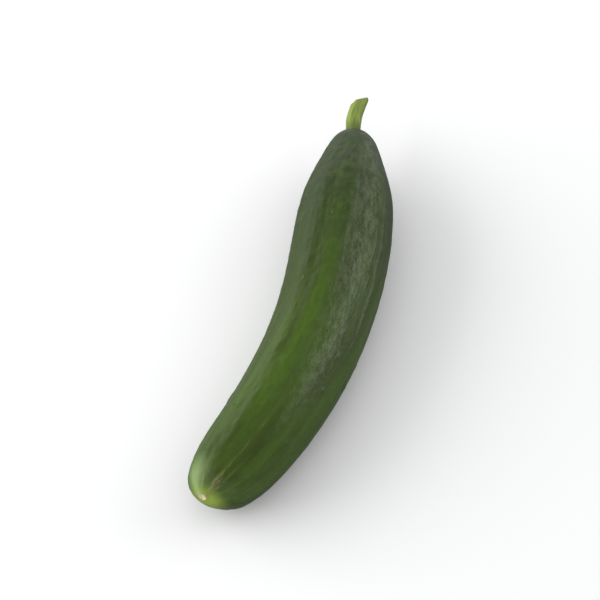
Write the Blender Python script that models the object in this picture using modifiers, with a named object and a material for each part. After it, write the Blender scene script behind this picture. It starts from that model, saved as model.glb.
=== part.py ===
"""A whole cucumber lying on its side, as picked, with the cut stub of its stalk.

Metres, +Z up. The fruit lies along +X, from its blossom end to its stem end, on the plane z = 0. It bends in
that plane, hollow towards +Y. The origin is on the plane, under the middle of the whole part's box.
"""

import math
import random

import bmesh
import bpy
import numpy as np

MM = 0.001

# The fruit: its length along its bent middle line, and its width at nine stations, which stand closer
# together towards its two ends.
FRUIT_LENGTH = 170.2 * MM
FRUIT_WIDTHS = [width * MM for width in (18.6, 27.9, 31.5, 33.7, 35.3, 37.2, 35.4, 25.4, 15.3)]

# Where the middle line starts, at the blossom end, and how it runs: its heading from +X at four equal
# stations, and how much it rises over its length, because the stem half is the thicker one.
BLOSSOM_TIP = (-92.0 * MM, 11.7 * MM, 14.5 * MM)
FRUIT_HEADINGS = [math.radians(turn) for turn in (-22.3, -6.6, 9.9, 13.0)]
FRUIT_RISE = 5.1 * MM

# The blossom end is a little askew: it reaches further low down on the hollow side of the bend.
BLOSSOM_SLANT = math.tan(math.radians(11))
BLOSSOM_SLANT_ANGLE = math.radians(-20)
BLOSSOM_SLANT_REACH = (1.0 * MM, 9.0 * MM)

# The section is slightly three-sided, with a flat side down.
LOBES = 3
LOBE_CREST = math.radians(90)
LOBE_DEPTH = 0.018

# Lengthwise ribs: a rounded crest on the underside and the rest evenly round from it.
RIBS = 10
RIB_CREST = math.radians(-90)
GROOVE_DEPTHS = [depth * MM for depth in (0.0, 0.40, 0.30, 0.28, 0.36, 0.46, 0.28, 0.0)]
GROOVE_STRENGTHS = (0.65, 1.25)
GROOVE_SHARPNESS = 1.6
RIB_WANDER = math.radians(5)
RIB_WAVES = 0.8

# Low warts, each a rounded bump that is longer than it is wide, on all sides but the underside.
RELIEF_SEED = 7
WARTS = 26
WART_STATIONS = (0.12, 0.90)
WART_ANGLES = (math.radians(-60), math.radians(240))
WART_RADII = (2.2 * MM, 3.2 * MM)
WART_HEIGHTS = (0.18 * MM, 0.36 * MM)
WART_STRETCH = 1.5

# The corky scar that the blossom left: a low ring with a dimple inside it, a little above the tip.
SCAR_CENTRE = (-0.2 * MM, 1.6 * MM)
SCAR_RADIUS = 1.5 * MM
SCAR_WIDTH = 0.5 * MM
SCAR_HEIGHT = 0.35 * MM
SCAR_DIMPLE = 0.25 * MM
SCAR_REACH = (1.0 * MM, 2.0 * MM)

# The lobes, ribs and warts fade out over these distances from the two ends.
BLOSSOM_FADE = (0.0, 6.0 * MM)
SHOULDER_FADE = (4.0 * MM, 10.0 * MM)

# The hollow that the stem is rooted in.
SOCKET_RADIUS = 3.3 * MM
SOCKET_DEPTH = 2.4 * MM
SOCKET_SEARCH = 0.9
GAP = 0.3 * MM

# The stem: its length from its root, how far its root stands aside in the hollow, its radius at equal
# stations, its headings from +X, its rise, and how its cut end slants: sideways, and up to its top.
STEM_LENGTH = 18.2 * MM
STEM_ASIDE = 0.3 * MM
STEM_RADII = [radius * MM for radius in (2.60, 2.75, 2.90, 2.90, 2.85, 2.85)]
STEM_HEADINGS = [math.radians(turn) for turn in (16.0, 17.0, 5.0, 0.0)]
STEM_RISE = 1.5 * MM
STEM_RIBS = 5
STEM_RIB_DEPTH = 0.07
STEM_RIB_FADE = 2.0 * MM
STEM_SLANT_ASIDE = math.tan(math.radians(40))
STEM_SLANT_UP = math.tan(math.radians(18))
STEM_SLANT_FROM = 0.45 * STEM_LENGTH

# How finely the two are divided.
FRUIT_SIDES = 70
FRUIT_RING_FIRST = 0.025 * MM
FRUIT_RING_GROWTH = 1.35
FRUIT_RING_WIDEST = 3.1 * MM
STEM_SIDES = 30
STEM_RINGS = 14
LINE_STEPS = 400
RIM_MARGIN = 0.2 * MM
AXIS_MERGE = 0.001 * MM
SHARP_EDGE = math.radians(50)

SKIN_GREEN = (0.053, 0.092, 0.025, 1.0)
SKIN_ROUGHNESS = 0.38
STEM_GREEN = (0.202, 0.262, 0.080, 1.0)
STEM_ROUGHNESS = 0.6


def smooth_through(values):
    """Return a function of 0 to 1 that runs smoothly through equally spaced values (a natural cubic)."""
    knots = np.asarray(values, dtype=float)
    last = len(knots) - 1
    matrix = np.eye(last + 1)
    bends = np.zeros(last + 1)
    for k in range(1, last):
        matrix[k, k - 1:k + 2] = (1, 4, 1)
        bends[k] = 6 * (knots[k - 1] - 2 * knots[k] + knots[k + 1])
    bends = np.linalg.solve(matrix, bends)

    def value(share):
        place = np.clip(share, 0, 1) * last
        k = np.minimum(place.astype(int), last - 1)
        after = place - k
        before = 1 - after
        straight = before * knots[k] + after * knots[k + 1]
        bent = (before**3 - before) * bends[k] + (after**3 - after) * bends[k + 1]
        return straight + bent / 6

    return value


def middle_line(start, length, headings, rise):
    """Return a function from a station to the middle line's point and its heading there."""
    stations = np.linspace(0, length, LINE_STEPS)
    turns = smooth_through(headings)(stations / length)
    step = stations[1]
    x = start[0] + np.concatenate([[0], np.cumsum(np.cos((turns[1:] + turns[:-1]) / 2) * step)])
    y = start[1] + np.concatenate([[0], np.cumsum(np.sin((turns[1:] + turns[:-1]) / 2) * step)])

    def place(station):
        inside = np.clip(station, 0, length)
        past = station - inside
        turn = np.interp(inside, stations, turns)
        points = np.stack([
            np.interp(inside, stations, x) + past * np.cos(turn),
            np.interp(inside, stations, y) + past * np.sin(turn),
            start[2] + rise * station / length,
        ], axis=-1)
        return points, turn

    return place


def laid_along(line, station, angle, radius):
    """Return the points at a station, an angle (0 towards +Y, a quarter turn up) and a radius from a line."""
    points, turn = line(station)
    points[:, 0] -= np.sin(turn) * np.cos(angle) * radius
    points[:, 1] += np.cos(turn) * np.cos(angle) * radius
    points[:, 2] += np.sin(angle) * radius
    return points


def end_spacing(length):
    """Return stations from end to end, close together at both ends and at most the widest step apart."""
    half = [0.0]
    step = FRUIT_RING_FIRST
    while half[-1] < length / 2:
        half.append(half[-1] + step)
        step = min(step * FRUIT_RING_GROWTH, FRUIT_RING_WIDEST)
    squeeze = length / 2 / half[-1]
    front = [station * squeeze for station in half]
    return front + [length - station for station in reversed(front[:-1])]


def fruit_radius(station):
    """Return the smooth fruit's radius at a station."""
    share = np.arccos(np.clip(1 - 2 * station / FRUIT_LENGTH, -1, 1)) / math.pi
    return smooth_through([0.0] + [width / 2 for width in FRUIT_WIDTHS] + [0.0])(share)


def ease(low, high, value):
    """Return 0 below low, 1 above high and a smooth passage between."""
    share = np.clip((value - low) / (high - low), 0, 1)
    return share * share * (3 - 2 * share)


def rib_relief(station, angle, draw):
    """Return how far the grooves between the ribs lie below the smooth skin, as a negative height."""
    share = station / FRUIT_LENGTH
    round_place = (angle - RIB_CREST) + RIB_WANDER * np.sin(2 * math.pi * RIB_WAVES * share)
    groove = np.floor(round_place / (2 * math.pi) * RIBS).astype(int) % RIBS
    strength = np.array([draw.uniform(*GROOVE_STRENGTHS) for _ in range(RIBS)])[groove]
    hollow = ((1 - np.cos(RIBS * round_place)) / 2) ** GROOVE_SHARPNESS
    return -smooth_through(GROOVE_DEPTHS)(share) * strength * hollow


def wart_relief(station, angle, draw):
    """Return the height of the warts, which are scattered over the sides and the top."""
    height = np.zeros_like(station)
    for _ in range(WARTS):
        wart_station = draw.uniform(*WART_STATIONS) * FRUIT_LENGTH
        wart_angle = draw.uniform(*WART_ANGLES)
        wart_radius = draw.uniform(*WART_RADII)
        wart_height = draw.uniform(*WART_HEIGHTS)
        around = np.angle(np.exp(1j * (angle - wart_angle))) * fruit_radius(station)
        along = (station - wart_station) / WART_STRETCH
        near = np.clip(1 - (around**2 + along**2) / wart_radius**2, 0, 1)
        height += wart_height * near**2
    return height


def scar_relief(angle, radius):
    """Return how far the blossom scar stands out of the tip."""
    apart = np.hypot(radius * np.cos(angle) - SCAR_CENTRE[0], radius * np.sin(angle) - SCAR_CENTRE[1])
    ring = np.exp(-(((apart - SCAR_RADIUS) / SCAR_WIDTH) ** 2))
    dimple = np.exp(-((apart / (SCAR_RADIUS / 2)) ** 2))
    return SCAR_HEIGHT * ring - SCAR_DIMPLE * dimple


def turned_mesh(name, profile, sides):
    """Return the mesh that a profile of (station, radius) makes when it is turned about X."""
    outline = bpy.data.meshes.new(name + "_profile")
    points = [(station, 0.0, radius) for station, radius in profile]
    outline.from_pydata(points, [(k, k + 1) for k in range(len(points) - 1)], [])
    guide = bpy.data.objects.new(name + "_profile", outline)
    bpy.context.scene.collection.objects.link(guide)
    screw = guide.modifiers.new("turn", "SCREW")
    screw.axis = "X"
    screw.steps = screw.render_steps = sides
    screw.use_merge_vertices = True
    screw.merge_threshold = AXIS_MERGE
    evaluated = guide.evaluated_get(bpy.context.evaluated_depsgraph_get())
    mesh = bpy.data.meshes.new_from_object(evaluated)
    mesh.name = name
    bpy.data.objects.remove(guide)
    bpy.data.meshes.remove(outline)
    face_outwards(mesh)
    return mesh


def face_outwards(mesh):
    """Turn every face of a closed mesh to point out of it."""
    shape = bmesh.new()
    shape.from_mesh(mesh)
    bmesh.ops.recalc_face_normals(shape, faces=shape.faces)
    shape.to_mesh(mesh)
    shape.free()


def turned_coordinates(mesh):
    """Return the station, angle and radius of every vertex of a mesh that was turned about X."""
    flat = np.empty(len(mesh.vertices) * 3)
    mesh.vertices.foreach_get("co", flat)
    x, y, z = flat.reshape(-1, 3).T
    return x, np.arctan2(z, y), np.hypot(y, z)


def place_vertices(mesh, points):
    """Move a mesh's vertices to the given points."""
    mesh.vertices.foreach_set("co", points.astype(np.float32).ravel())
    mesh.update()


def plain_material(name, colour, roughness):
    """Return a plain material of one colour."""
    material = bpy.data.materials.new(name)
    material.use_nodes = True
    shader = material.node_tree.nodes["Principled BSDF"]
    shader.inputs["Base Color"].default_value = colour
    shader.inputs["Roughness"].default_value = roughness
    shader.inputs["Metallic"].default_value = 0.0
    material.diffuse_color = colour
    return material


def add_piece(name, mesh, material, collection):
    """Put a finished mesh in the collection as a smoothly shaded object."""
    mesh.materials.append(material)
    mesh.shade_smooth()
    mesh.set_sharp_from_angle(angle=SHARP_EDGE)
    piece = bpy.data.objects.new(name, mesh)
    collection.objects.link(piece)
    return piece


def socket_rim():
    """Return the station near the stem end where the fruit is as wide as the socket."""
    stations = np.linspace(SOCKET_SEARCH * FRUIT_LENGTH, FRUIT_LENGTH, LINE_STEPS)
    return float(np.interp(-SOCKET_RADIUS, -fruit_radius(stations), stations))


def fruit_line():
    """Return the fruit's middle line."""
    return middle_line(BLOSSOM_TIP, FRUIT_LENGTH, FRUIT_HEADINGS, FRUIT_RISE)


def make_fruit(collection):
    """Make the fruit: ribs, warts and scar on a bent body with a flat spot to lie on."""
    rim = socket_rim()
    stations = np.array([station for station in end_spacing(FRUIT_LENGTH) if station < rim - RIM_MARGIN])
    profile = list(zip(stations, fruit_radius(stations)))
    profile += [(rim, SOCKET_RADIUS), (rim - SOCKET_DEPTH, SOCKET_RADIUS), (rim - SOCKET_DEPTH, 0.0)]
    mesh = turned_mesh("fruit", profile, FRUIT_SIDES)

    station, angle, radius = turned_coordinates(mesh)
    draw = random.Random(RELIEF_SEED)
    ends = ease(*BLOSSOM_FADE, station) * ease(*SHOULDER_FADE, FRUIT_LENGTH - station)
    lobes = radius * LOBE_DEPTH * np.cos(LOBES * (angle - LOBE_CREST))
    relief = lobes + rib_relief(station, angle, draw) + wart_relief(station, angle, draw)
    askew = BLOSSOM_SLANT * radius * np.cos(angle - BLOSSOM_SLANT_ANGLE)
    askew *= 1 - ease(*BLOSSOM_SLANT_REACH, station)
    station = station - askew - scar_relief(angle, radius) * (1 - ease(*SCAR_REACH, station))
    points = laid_along(fruit_line(), station, angle, radius + relief * ends)
    points[:, 2] = np.maximum(points[:, 2], 0.0)
    place_vertices(mesh, points)
    return add_piece("fruit", mesh, plain_material("skin", SKIN_GREEN, SKIN_ROUGHNESS), collection)


def make_stem(collection):
    """Make the stub of the stalk: ribbed, bent, slightly flared and cut at a slant."""
    shares = np.linspace(0, 1, STEM_RINGS)
    radii = smooth_through(STEM_RADII)(shares)
    profile = [(0.0, 0.0)] + list(zip(shares * STEM_LENGTH, radii)) + [(STEM_LENGTH, 0.0)]
    mesh = turned_mesh("stem", profile, STEM_SIDES)

    station, angle, radius = turned_coordinates(mesh)
    out_of_socket = ease(SOCKET_DEPTH, SOCKET_DEPTH + STEM_RIB_FADE, station)
    radius = radius * (1 + STEM_RIB_DEPTH * np.cos(STEM_RIBS * angle) * out_of_socket)
    slant = STEM_SLANT_ASIDE * np.cos(angle) + STEM_SLANT_UP * np.sin(angle)
    slant *= -radius * ease(STEM_SLANT_FROM, STEM_LENGTH, station)
    root = socket_rim() - SOCKET_DEPTH + GAP
    start, _ = fruit_line()(np.array([root]))
    start = start[0] + (0.0, STEM_ASIDE, 0.0)
    line = middle_line(start, STEM_LENGTH, STEM_HEADINGS, STEM_RISE)
    place_vertices(mesh, laid_along(line, station + slant, angle, radius))
    return add_piece("stem", mesh, plain_material("stalk", STEM_GREEN, STEM_ROUGHNESS), collection)


def main():
    """Clear the scene and build the cucumber."""
    for old in list(bpy.data.objects):
        bpy.data.objects.remove(old)
    collection = bpy.data.collections.new("cucumber")
    bpy.context.scene.collection.children.link(collection)
    make_fruit(collection)
    make_stem(collection)


main()
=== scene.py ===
"""A cucumber as picked, lying in a pale studio: its ribbed, waxy skin and the cut stub of its stalk.

Metres, +Z up. The fruit runs along +X from its blossom end to its stem end. Every point of its skin is
known by its station along the bent middle line, its angle round that line (0 towards +Y, a quarter turn
up) and its radius from it, so that ribs, warts, streaks and the darkening towards the stem all follow the way
the fruit grew.
"""

import logging
import math
import random
from dataclasses import dataclass
from enum import Enum

import bmesh
import bpy
import numpy as np
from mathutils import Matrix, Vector, noise

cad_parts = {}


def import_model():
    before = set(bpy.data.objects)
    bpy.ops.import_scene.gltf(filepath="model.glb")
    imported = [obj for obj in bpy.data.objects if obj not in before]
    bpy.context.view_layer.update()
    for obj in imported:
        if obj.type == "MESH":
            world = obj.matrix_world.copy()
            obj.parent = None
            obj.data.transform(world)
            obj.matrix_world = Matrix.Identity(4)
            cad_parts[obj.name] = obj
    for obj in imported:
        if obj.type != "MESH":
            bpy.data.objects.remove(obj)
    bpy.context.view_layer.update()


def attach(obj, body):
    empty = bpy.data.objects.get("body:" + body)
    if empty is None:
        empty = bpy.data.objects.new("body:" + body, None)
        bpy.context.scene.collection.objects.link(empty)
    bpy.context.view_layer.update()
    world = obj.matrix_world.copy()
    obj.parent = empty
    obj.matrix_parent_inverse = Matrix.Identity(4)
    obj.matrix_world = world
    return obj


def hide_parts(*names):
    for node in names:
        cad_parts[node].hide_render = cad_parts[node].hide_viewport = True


MM = 0.001
LOG = logging.getLogger("cucumber")

Colour = tuple[float, float, float, float]
Socket = bpy.types.NodeSocket


class Mark(Enum):
    """The fields painted on the skin, by attribute and component, painted shade, sheen and highlight among
    them.
    """

    STREAK = ("ripening", 0)
    # Darker towards the stem end.
    BLOOM = ("ripening", 1)
    HALO = ("ripening", 2)
    SCAR = ("flaws", 0)
    SCUFF = ("flaws", 1)
    # Painted shade in the grooves between the ribs.
    GROOVE = ("flaws", 2)
    # Dust on the flank, which also paints the sheen of a soft reflection there.
    DUST = ("dusting", 0)
    # Painted highlight on the blossom end's pale side.
    PALE = ("dusting", 1)


class Layer(Enum):
    """The layers of noise in the relief, each with the shift that sets it apart from the others."""

    PEBBLES = 11.3
    WRINKLES = 47.1
    DRIFT = 5.2
    FIBRES = 3.3


# The attribute that keeps where each point was before its piece was bent.
GROWN_PLACE = "grown_place"
# How many times finer the fine grain is than the domes that it lies on.
FINE_GRAINS = 2.6
# Points nearer to each other than this are merged where a turned form closes.
MERGE_WITHIN = 0.0002 * MM


def ease(low: float, high: float, value: np.ndarray) -> np.ndarray:
    """Pass smoothly from 0 to 1.

    Args:
        low: Where the passage starts.
        high: Where it ends.
        value: The values to pass on.

    Returns:
        0 below low, 1 above high and a smooth passage between.
    """
    share = np.clip((value - low) / (high - low), 0, 1)
    return share * share * (3 - 2 * share)


def smooth_through(knots: tuple[float, ...], share: np.ndarray) -> np.ndarray:
    """Read a smooth curve (a natural cubic) through equally spaced values.

    Args:
        knots: The values that the curve passes through.
        share: Where to read it, from 0 at the first value to 1 at the last.

    Returns:
        The curve's values there.
    """
    last = len(knots) - 1
    matrix = np.eye(last + 1)
    bends = np.zeros(last + 1)
    for k in range(1, last):
        matrix[k, k - 1:k + 2] = (1, 4, 1)
        bends[k] = 6 * (knots[k - 1] - 2 * knots[k] + knots[k + 1])
    bends = np.linalg.solve(matrix, bends)
    values = np.asarray(knots, dtype=float)
    place = np.clip(share, 0, 1) * last
    k = np.minimum(place.astype(int), last - 1)
    after = place - k
    before = 1 - after
    straight = before * values[k] + after * values[k + 1]
    return straight + ((before**3 - before) * bends[k] + (after**3 - after) * bends[k + 1]) / 6


def noise_at(places: np.ndarray, size: tuple[float, float, float], layer: Layer) -> np.ndarray:
    """Read soft noise of about -1 to 1.

    Args:
        places: Points, one row each.
        size: The size of the noise's features along each axis.
        layer: Which layer of noise to read.

    Returns:
        One value for each point.
    """
    scaled = places / np.asarray(size) + layer.value
    return np.array([noise.noise(Vector(point)) for point in scaled])


def bell(off: np.ndarray, width: float) -> np.ndarray:
    """Fall smoothly from 1 in the middle of a mark towards 0 past its width."""
    return np.exp(-((off / width) ** 2))


def turn_from(angle: np.ndarray, middle: float | np.ndarray) -> np.ndarray:
    """Return how far each angle is turned from a middle one, the short way round."""
    return np.angle(np.exp(1j * (angle - middle)))


def unbent(station: np.ndarray, angle: np.ndarray, radius: np.ndarray) -> np.ndarray:
    """Return the points of a turned form as they are before it is bent."""
    return np.stack([station, radius * np.cos(angle), radius * np.sin(angle)], axis=-1)


def apart_from(centre: tuple[float, float], angle: np.ndarray, radius: np.ndarray) -> np.ndarray:
    """Return how far each point is from a centre beside the middle line, seen along the line."""
    aside, above = centre
    return np.hypot(radius * np.cos(angle) - aside, radius * np.sin(angle) - above)


@dataclass(frozen=True)
class MiddleLine:
    """A bent line that a body grew along, level but for a steady rise."""

    start: tuple[float, float, float]
    length: float
    headings: tuple[float, ...]
    rise: float
    steps: int = 400

    def at(self, station: np.ndarray) -> tuple[np.ndarray, np.ndarray]:
        """Find points of the line.

        Args:
            station: Distances along the line; past its ends it runs on straight.

        Returns:
            The points, and the line's heading at each.
        """
        stations = np.linspace(0, self.length, self.steps)
        turns = smooth_through(self.headings, stations / self.length)
        halfway = (turns[1:] + turns[:-1]) / 2
        step = stations[1]
        x = self.start[0] + np.concatenate([[0], np.cumsum(np.cos(halfway) * step)])
        y = self.start[1] + np.concatenate([[0], np.cumsum(np.sin(halfway) * step)])
        inside = np.clip(station, 0, self.length)
        past = station - inside
        turn = np.interp(inside, stations, turns)
        points = np.stack([
            np.interp(inside, stations, x) + past * np.cos(turn),
            np.interp(inside, stations, y) + past * np.sin(turn),
            self.start[2] + self.rise * station / self.length,
        ], axis=-1)
        return points, turn

    def lay(self, station: np.ndarray, angle: np.ndarray, radius: np.ndarray) -> np.ndarray:
        """Bend a turned form along the line.

        Args:
            station: Each point's distance along the line.
            angle: Its angle round the line.
            radius: Its distance from the line.

        Returns:
            The bent form's points.
        """
        points, turn = self.at(station)
        points[:, 0] -= np.sin(turn) * np.cos(angle) * radius
        points[:, 1] += np.cos(turn) * np.cos(angle) * radius
        points[:, 2] += np.sin(angle) * radius
        return points


class TurnedForm:
    """A profile turned about X with bmesh, whose points are then moved by formula."""

    def __init__(self, name: str, profile: list[tuple[float, float]], sides: int) -> None:
        """Turn the profile.

        Args:
            name: The finished object's name.
            profile: Stations and radii, from axis to axis.
            sides: How many steps the turn has.
        """
        self.name = name
        shape = bmesh.new()
        outline = [shape.verts.new((station, 0.0, radius)) for station, radius in profile]
        edges = [shape.edges.new(pair) for pair in zip(outline, outline[1:])]
        bmesh.ops.spin(
            shape, geom=outline + edges, cent=(0, 0, 0), axis=(1, 0, 0), angle=math.tau,
            steps=sides, use_merge=True,
        )
        bmesh.ops.remove_doubles(shape, verts=shape.verts, dist=MERGE_WITHIN)
        bmesh.ops.recalc_face_normals(shape, faces=shape.faces)
        self.mesh = bpy.data.meshes.new(name)
        shape.to_mesh(self.mesh)
        shape.free()

    def coordinates(self) -> tuple[np.ndarray, np.ndarray, np.ndarray]:
        """Read the form's points as they were turned.

        Returns:
            The station, angle and radius of every point.
        """
        flat = np.empty(len(self.mesh.vertices) * 3, dtype=np.float32)
        self.mesh.vertices.foreach_get("co", flat)
        x, y, z = flat.reshape(-1, 3).T.astype(float)
        return x, np.arctan2(z, y), np.hypot(y, z)

    def move_to(self, points: np.ndarray) -> None:
        """Move the form's points to their grown places."""
        self.mesh.vertices.foreach_set("co", points.astype(np.float32).ravel())
        self.mesh.update()

    def note(self, name: str, vectors: np.ndarray) -> None:
        """Keep a vector for every point, for the materials to read by name."""
        layer = self.mesh.attributes.new(name, "FLOAT_VECTOR", "POINT")
        layer.data.foreach_set("vector", vectors.astype(np.float32).ravel())

    def finish(self, materials: list[bpy.types.Material]) -> bpy.types.Object:
        """Make the smoothly shaded object.

        Args:
            materials: Its materials, in the order of the faces' material numbers.

        Returns:
            The object, at the origin.
        """
        for material in materials:
            self.mesh.materials.append(material)
        self.mesh.shade_smooth()
        piece = bpy.data.objects.new(self.name, self.mesh)
        bpy.context.scene.collection.objects.link(piece)
        return piece


class Board:
    """A node tree, with short calls that add nodes and join them."""

    def __init__(self, tree: bpy.types.NodeTree) -> None:
        """Take the tree to work on."""
        self.tree = tree

    def add(self, kind: str, **settings: object) -> bpy.types.Node:
        """Add a node.

        Args:
            kind: The end of its type's name, such as Math.
            **settings: Its settings, by name.

        Returns:
            The node.
        """
        node = self.tree.nodes.new("ShaderNode" + kind)
        for name, value in settings.items():
            setattr(node, name, value)
        return node

    def feed(self, socket: Socket, value: object) -> None:
        """Join a socket to another, or give it a plain value.

        Args:
            socket: The socket to feed.
            value: The other socket, or the value.
        """
        if isinstance(value, bpy.types.NodeSocket):
            self.tree.links.new(value, socket)
        else:
            socket.default_value = value

    def sums(self, operation: str, first: object, second: object = 0.0, clamp: bool = False) -> Socket:
        """Work out one number from two.

        Args:
            operation: The Math node's operation.
            first: A number or a socket.
            second: A number or a socket.
            clamp: Whether to keep the result between 0 and 1.

        Returns:
            The result's socket.
        """
        node = self.add("Math", operation=operation, use_clamp=clamp)
        self.feed(node.inputs[0], first)
        self.feed(node.inputs[1], second)
        return node.outputs[0]

    def between(self, value: object, low: float, high: float, to_low: float = 0.0,
                to_high: float = 1.0) -> Socket:
        """Pass a value smoothly from one range to another, and hold it at both ends.

        Args:
            value: A number or a socket.
            low: Where the passage starts.
            high: Where it ends.
            to_low: The result up to the start.
            to_high: The result from the end on.

        Returns:
            The result's socket.
        """
        node = self.add("MapRange", interpolation_type="SMOOTHSTEP")
        for name, given in (("Value", value), ("From Min", low), ("From Max", high),
                            ("To Min", to_low), ("To Max", to_high)):
            self.feed(node.inputs[name], given)
        return node.outputs["Result"]

    def blend(self, share: object, first: object, second: object) -> Socket:
        """Mix two colours, by the sockets that a Mix node has for colours.

        Args:
            share: How much of the second colour there is, from 0 to 1.
            first: The colour at 0.
            second: The colour at 1.

        Returns:
            The mixed colour's socket.
        """
        node = self.add("Mix", data_type="RGBA", clamp_factor=True)
        for place, given in ((0, share), (6, first), (7, second)):
            self.feed(node.inputs[place], given)
        return node.outputs[2]

    def field(self, name: str) -> Socket:
        """Read a vector that the piece keeps for its materials."""
        return self.add("Attribute", attribute_name=name).outputs["Vector"]

    def split(self, vector: Socket) -> bpy.types.NodeOutputs:
        """Split a vector.

        Args:
            vector: The vector.

        Returns:
            The sockets of its three parts.
        """
        node = self.add("SeparateXYZ")
        self.feed(node.inputs[0], vector)
        return node.outputs

    def length(self, vector: Socket) -> Socket:
        """Measure a vector.

        Args:
            vector: The vector.

        Returns:
            Its length.
        """
        node = self.add("VectorMath", operation="LENGTH")
        self.feed(node.inputs[0], vector)
        return node.outputs["Value"]

    def drawn_out(self, place: Socket, along: float) -> Socket:
        """Scale a place along X, so that a pattern read there is drawn out along the piece.

        Args:
            place: The place.
            along: The scale; the pattern is drawn out where it is under 1.

        Returns:
            The scaled place.
        """
        node = self.add("VectorMath", operation="MULTIPLY")
        self.feed(node.inputs[0], place)
        self.feed(node.inputs[1], (along, 1, 1))
        return node.outputs[0]

    def clouds(self, vector: Socket, size: float, detail: float = 2.0, rough: float = 0.5) -> Socket:
        """Add soft noise.

        Args:
            vector: Where to read it.
            size: The size of its features, in metres.
            detail: How many finer layers it has.
            rough: How strong the finer layers are.

        Returns:
            The noise, from 0 to 1.
        """
        node = self.add("TexNoise")
        for name, given in (("Vector", vector), ("Scale", 1 / size), ("Detail", detail),
                            ("Roughness", rough)):
            self.feed(node.inputs[name], given)
        return node.outputs["Fac"]

    def cells(self, vector: Socket, size: float) -> Socket:
        """Scatter points, one to a cell.

        Args:
            vector: Where to read the distance.
            size: The size of a cell, in metres.

        Returns:
            The distance from the nearest point, in cells.
        """
        node = self.add("TexVoronoi", feature="F1")
        for name, given in (("Vector", vector), ("Scale", 1 / size)):
            self.feed(node.inputs[name], given)
        return node.outputs["Distance"]

    def bump(self, height: Socket, depth: float, strength: float, under: Socket | None = None) -> Socket:
        """Turn a height of 0 to 1, which is depth metres at most, into a normal.

        Args:
            height: The height.
            depth: How high 1 is.
            strength: How much of it shows.
            under: The normal that it stands on, if not the bare surface's.

        Returns:
            The normal.
        """
        node = self.add("Bump")
        for name, given in (("Height", height), ("Distance", depth), ("Strength", strength)):
            self.feed(node.inputs[name], given)
        if under is not None:
            self.feed(node.inputs["Normal"], under)
        return node.outputs["Normal"]


def plain_material(name: str) -> tuple[bpy.types.Material, Board, bpy.types.Node]:
    """Start a material.

    Args:
        name: The material's name.

    Returns:
        The material, its board and its Principled shader.
    """
    material = bpy.data.materials.new(name)
    material.use_nodes = True
    board = Board(material.node_tree)
    return material, board, material.node_tree.nodes["Principled BSDF"]


def pebble_group() -> bpy.types.NodeTree:
    """Build the group that skin and stalk share: a fine, uneven, slightly stretched grain.

    Returns:
        The group, from a place, a grain size and a share of fine grain to a height of 0 to 1.
    """
    group = bpy.data.node_groups.new("pebbled_grain", "ShaderNodeTree")
    group.interface.new_socket("Place", in_out="INPUT", socket_type="NodeSocketVector")
    for name in ("Grains per metre", "Fine share"):
        group.interface.new_socket(name, in_out="INPUT", socket_type="NodeSocketFloat")
    group.interface.new_socket("Height", in_out="OUTPUT", socket_type="NodeSocketFloat")
    board = Board(group)
    given = group.nodes.new("NodeGroupInput")
    result = group.nodes.new("NodeGroupOutput")
    grain = board.add("TexVoronoi", feature="SMOOTH_F1")
    board.feed(grain.inputs["Vector"], given.outputs["Place"])
    board.feed(grain.inputs["Scale"], given.outputs["Grains per metre"])
    fine = board.add("TexNoise")
    board.feed(fine.inputs["Vector"], given.outputs["Place"])
    board.feed(fine.inputs["Scale"], board.sums("MULTIPLY", given.outputs["Grains per metre"], FINE_GRAINS))
    domes = board.sums("SUBTRACT", 1.0, grain.outputs["Distance"])
    rest = board.sums("SUBTRACT", 1.0, given.outputs["Fine share"])
    coarse_part = board.sums("MULTIPLY", domes, rest)
    fine_part = board.sums("MULTIPLY", fine.outputs["Fac"], given.outputs["Fine share"])
    board.feed(result.inputs["Height"], board.sums("ADD", coarse_part, fine_part))
    return group


@dataclass(frozen=True)
class Pebbling:
    """Fine relief made by the shared grain, drawn out along the piece if along is under 1."""

    size: float
    along: float
    fine_share: float
    depth: float
    strength: float = 0.8

    def normal(self, board: Board, group: bpy.types.NodeTree, place: Socket) -> Socket:
        """Put the shared grain in a material.

        Args:
            board: The material's board.
            group: The shared group.
            place: Where to read the grain.

        Returns:
            The pebbled surface's normal.
        """
        node = board.add("Group", node_tree=group)
        board.feed(node.inputs["Place"], board.drawn_out(place, self.along))
        board.feed(node.inputs["Grains per metre"], 1 / self.size)
        board.feed(node.inputs["Fine share"], self.fine_share)
        return board.bump(node.outputs["Height"], self.depth, self.strength)


@dataclass(frozen=True)
class Clouds:
    """Soft clouds on a piece, drawn out along it if along is under 1, and read as a share.

    Where the clouds pass from the first to the second value of passes, the share passes smoothly from
    the first to the second value of shares.
    """

    size: float
    detail: float = 2.0
    rough: float = 0.5
    along: float = 1.0
    passes: tuple[float, float] = (0.3, 0.7)
    shares: tuple[float, float] = (0.0, 1.0)

    def raw(self, board: Board, place: Socket) -> Socket:
        """Return the clouds themselves, from 0 to 1."""
        return board.clouds(board.drawn_out(place, self.along), self.size, self.detail, self.rough)

    def read(self, board: Board, place: Socket) -> Socket:
        """Return the share at a place."""
        return board.between(self.raw(board, place), *self.passes, *self.shares)


class Dots(Clouds):
    """Scattered dots on a piece, whose share passes with the distance from a dot's middle."""

    def raw(self, board: Board, place: Socket) -> Socket:
        """Return the distance from the nearest dot's middle, in dots of the given size."""
        return board.cells(board.drawn_out(place, self.along), self.size)


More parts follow.
